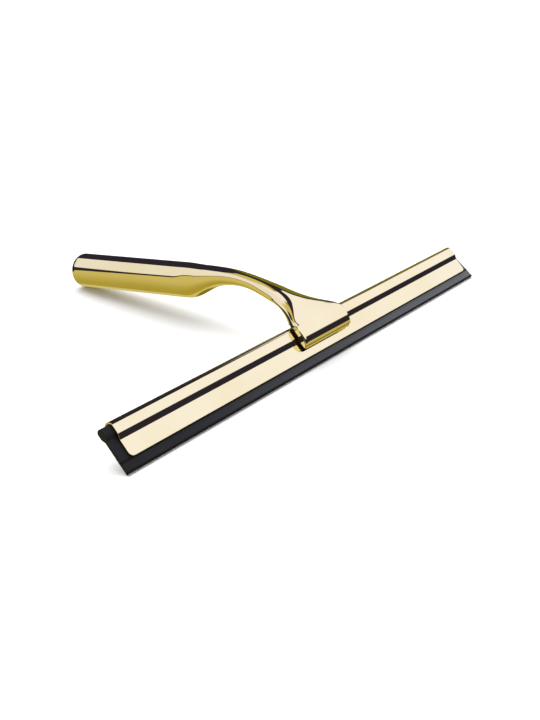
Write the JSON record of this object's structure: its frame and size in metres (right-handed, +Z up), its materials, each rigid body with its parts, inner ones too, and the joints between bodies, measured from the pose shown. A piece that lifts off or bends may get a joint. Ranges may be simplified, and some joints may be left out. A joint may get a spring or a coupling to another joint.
{
  "type": "window cleaning squeegee",
  "caption": "Hand squeegee for windows: a folded metal channel holding a rubber blade, clamped in the saddle of a curved, polished handle with a round grip.",
  "frame": {"origin": "middle of the base of the whole squeegee's box, as it lies on a table on its rubber lip and the underside of the grip's end", "axes": "+X along the blade, +Y from the blade to the end of the grip, +Z up"},
  "size_m": [0.259, 0.1568, 0.0281],
  "materials": {
    "polished_casting": "mirror polished, lacquered",
    "end_cap": "mirror polished, lacquered",
    "channel": "mirror polished sheet",
    "clamp": "polished",
    "screws": "turned, lightly worn",
    "blade_rubber": "smooth, satin",
    "seal_rubber": "satin",
    "pad_rubber": "matt",
    "liner": "matt"
  },
  "bodies": {
    "handle": {"handle_casting": "polished_casting", "grip_end_cap": "end_cap", "end_cap_seal": "seal_rubber", "saddle_liner": "liner"},
    "clamp": {"clamp_plate": "clamp", "clamp_pad": "pad_rubber"},
    "left_screw": {"left_clamp_screw": "screws"},
    "right_screw": {"right_clamp_screw": "screws"},
    "channel": {"squeegee_channel": "channel"},
    "blade": {"rubber_blade": "blade_rubber"}
  },
  "joints": [
    {"name": "channel_slide", "type": "slide", "parent": "handle", "child": "channel", "axis": [1, 0, 0], "range_m": [-0.1, 0.1]},
    {"name": "blade_slide", "type": "slide", "parent": "channel", "child": "blade", "axis": [1, 0, 0], "range_m": [-0.25, 0.25]},
    {"name": "clamp_release", "type": "slide", "parent": "handle", "child": "clamp", "axis": [0, 0.7071, -0.7071], "range_m": [0, 0.0015]},
    {"name": "left_screw_turn", "type": "hinge", "parent": "clamp", "child": "left_screw", "pos_m": [-0.0032, -0.05737, 0.014], "axis": [0, 0.7071, -0.7071], "range_deg": [0, 1080]},
    {"name": "right_screw_turn", "type": "hinge", "parent": "clamp", "child": "right_screw", "pos_m": [0.0032, -0.05737, 0.014], "axis": [0, 0.7071, -0.7071], "range_deg": [0, 1080]}
  ],
  "couplings": [
    {"joint": "left_screw_turn", "follows": "clamp_release", "rad_per_m": 12566},
    {"joint": "right_screw_turn", "follows": "clamp_release", "rad_per_m": 12566}
  ]
}
